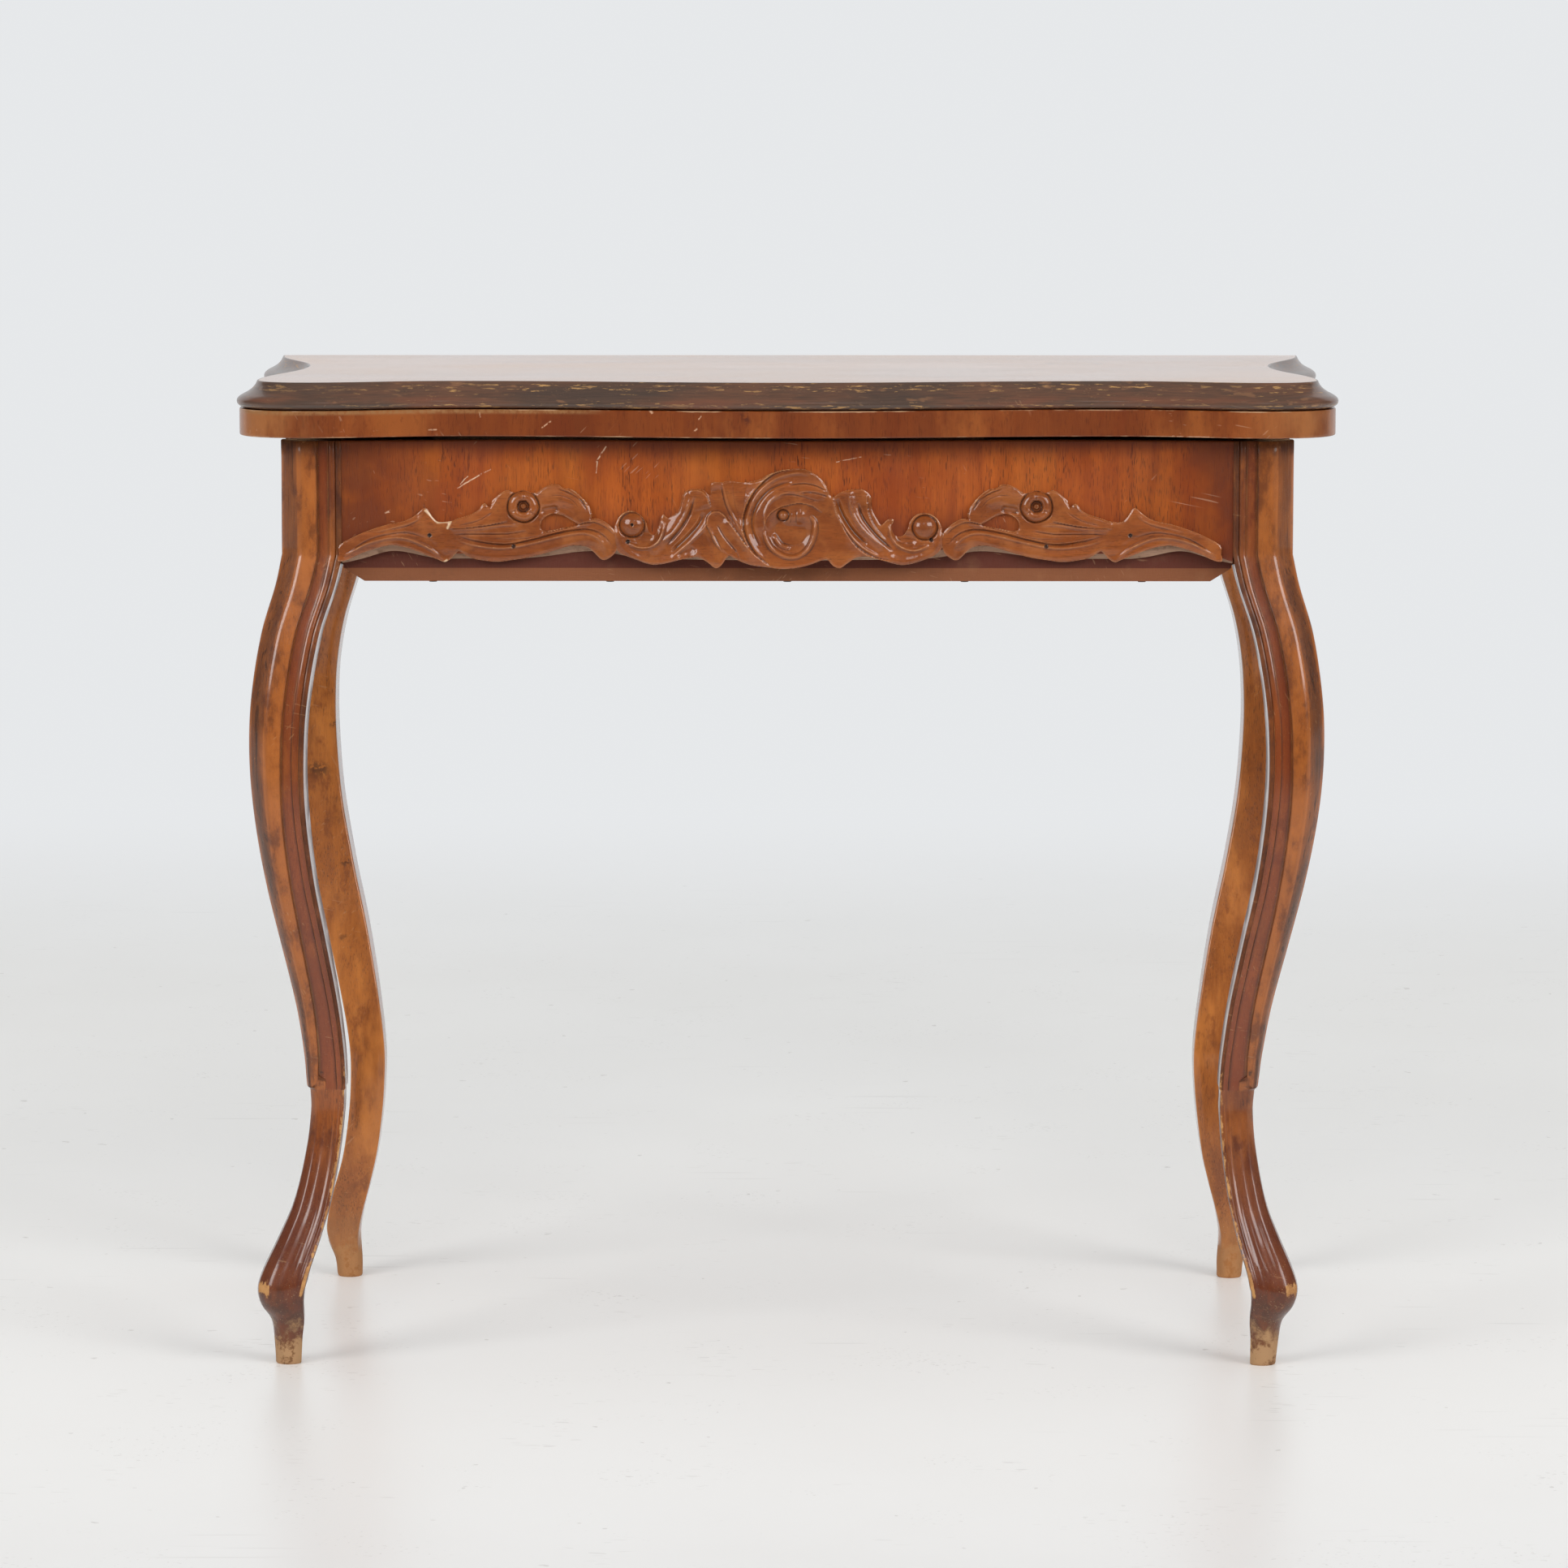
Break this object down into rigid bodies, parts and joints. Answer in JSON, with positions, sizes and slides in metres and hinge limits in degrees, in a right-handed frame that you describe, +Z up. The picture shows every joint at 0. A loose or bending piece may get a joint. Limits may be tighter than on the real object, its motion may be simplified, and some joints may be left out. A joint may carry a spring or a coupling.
{
  "type": "games table",
  "caption": "Swivel-top games table: serpentine fold-over leaves on an off-centre pivot, a card well inside the frame, a carved shaped front and curved cabriole legs.",
  "frame": {"origin": "on the floor, under the middle of the closed table's bounding box", "axes": "+Z up, the carved front faces -Y, +X to the right as seen from the front"},
  "size_m": [0.864, 0.4236, 0.76],
  "materials": {
    "stained_leg": "satin",
    "bare_pine": "matte",
    "stained_board": "matte",
    "walnut_veneer": "satin",
    "carved_wood": "satin",
    "nail_iron": "matte",
    "glide_leather": "matte",
    "forged_iron": "matte",
    "oak_peg": "matte",
    "hinge_brass": "satin",
    "stained_moulding": "satin"
  },
  "bodies": {
    "frame": {"front_left_leg": "stained_leg", "front_right_leg": "stained_leg", "back_left_leg": "stained_leg", "back_right_leg": "stained_leg", "front_rail": "bare_pine", "back_rail": "stained_board", "left_rail": "walnut_veneer", "right_rail": "walnut_veneer", "shaped_front": "walnut_veneer", "centre_carving": "carved_wood", "left_spray": "carved_wood", "right_spray": "carved_wood", "well_floor": "stained_board", "floor_nails": "nail_iron", "corner_blocks": "bare_pine", "glide_strips": "glide_leather", "pivot_bearer": "bare_pine", "leather_washer": "glide_leather"},
    "turning_top": {"lower_leaf": "walnut_veneer", "pivot_plate": "forged_iron", "pivot_bolt": "forged_iron", "iron_washer": "forged_iron", "square_nut": "forged_iron", "plate_screws": "forged_iron", "stop_peg": "oak_peg", "left_lower_hinge": "hinge_brass", "right_lower_hinge": "hinge_brass", "left_hinge_pin": "hinge_brass", "right_hinge_pin": "hinge_brass", "lower_hinge_screws": "hinge_brass"},
    "folding_leaf": {"upper_leaf": "stained_moulding", "left_upper_hinge": "hinge_brass", "right_upper_hinge": "hinge_brass", "upper_hinge_screws": "hinge_brass"}
  },
  "joints": [
    {"name": "top_turn", "type": "hinge", "parent": "frame", "child": "turning_top", "pos_m": [0.105, 0.10333, 0.69], "axis": [0, 0, 1], "range_deg": [0, 90]},
    {"name": "leaf_fold", "type": "hinge", "parent": "turning_top", "child": "folding_leaf", "pos_m": [0, 0.20833, 0.73935], "axis": [-1, 0, 0], "range_deg": [0, 180]}
  ]
}
